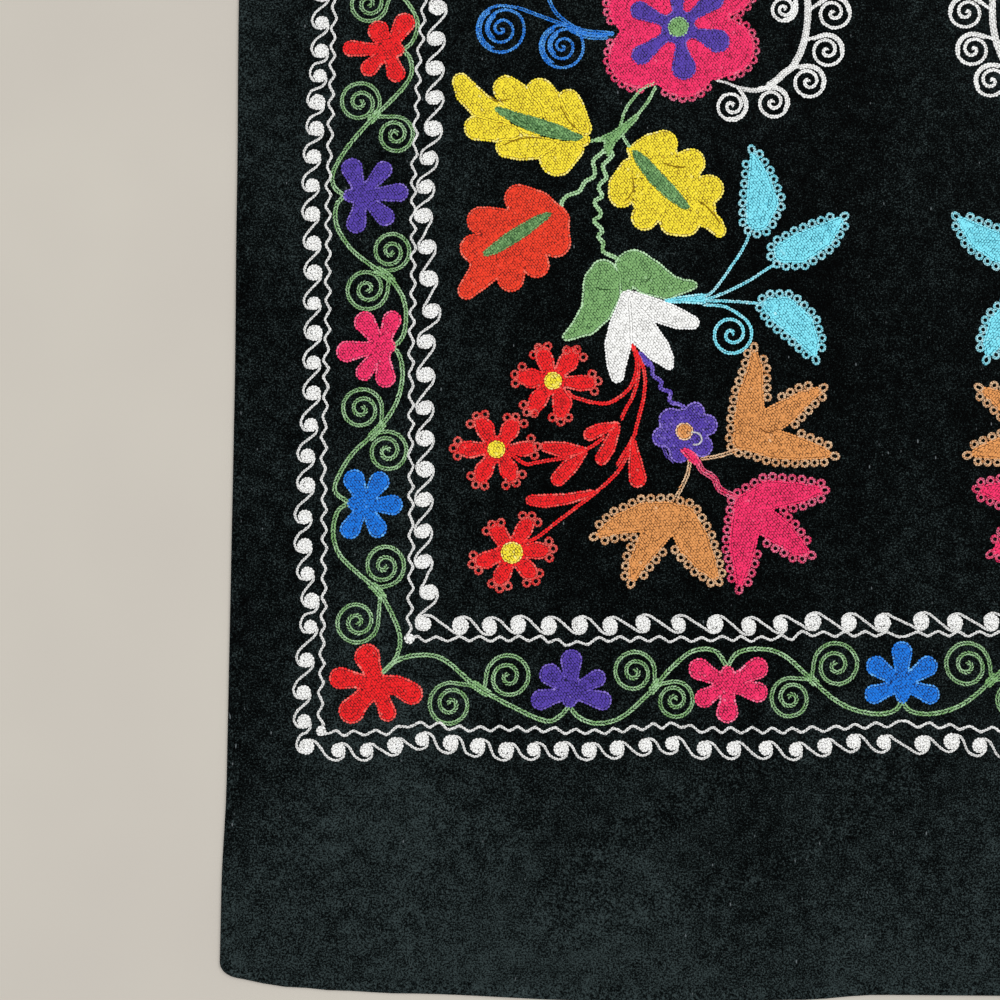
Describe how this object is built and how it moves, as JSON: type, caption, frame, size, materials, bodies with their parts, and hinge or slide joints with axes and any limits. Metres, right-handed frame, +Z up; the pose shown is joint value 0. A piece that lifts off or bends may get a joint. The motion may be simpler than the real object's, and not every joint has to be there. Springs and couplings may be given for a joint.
{
  "type": "suzani embroidered textile",
  "caption": "Hemmed black velvet panel with chain-stitch flowers, leaves, vines and scroll borders, lying flat.",
  "frame": {"origin": "bottom centre of the whole panel, on its resting face", "axes": "+Z up through the thin cloth, +Y along its length, +X across its width"},
  "size_m": [1.0224, 1.6538, 0.0036],
  "materials": {
    "black_velvet": "cotton velvet pile, matt with a soft nap sheen",
    "white_thread": "chain-stitched floss, soft sheen",
    "green_thread": "chain-stitched floss, soft sheen",
    "red_thread": "chain-stitched floss, soft sheen",
    "orange_thread": "chain-stitched floss, soft sheen",
    "yellow_thread": "chain-stitched floss, soft sheen",
    "pink_thread": "chain-stitched floss, soft sheen",
    "purple_thread": "chain-stitched floss, soft sheen",
    "blue_thread": "chain-stitched floss, soft sheen",
    "turquoise_thread": "chain-stitched floss, soft sheen",
    "tan_thread": "chain-stitched floss, soft sheen"
  },
  "bodies": {
    "root": {"velvet_panel": "black_velvet"}
  },
  "joints": []
}
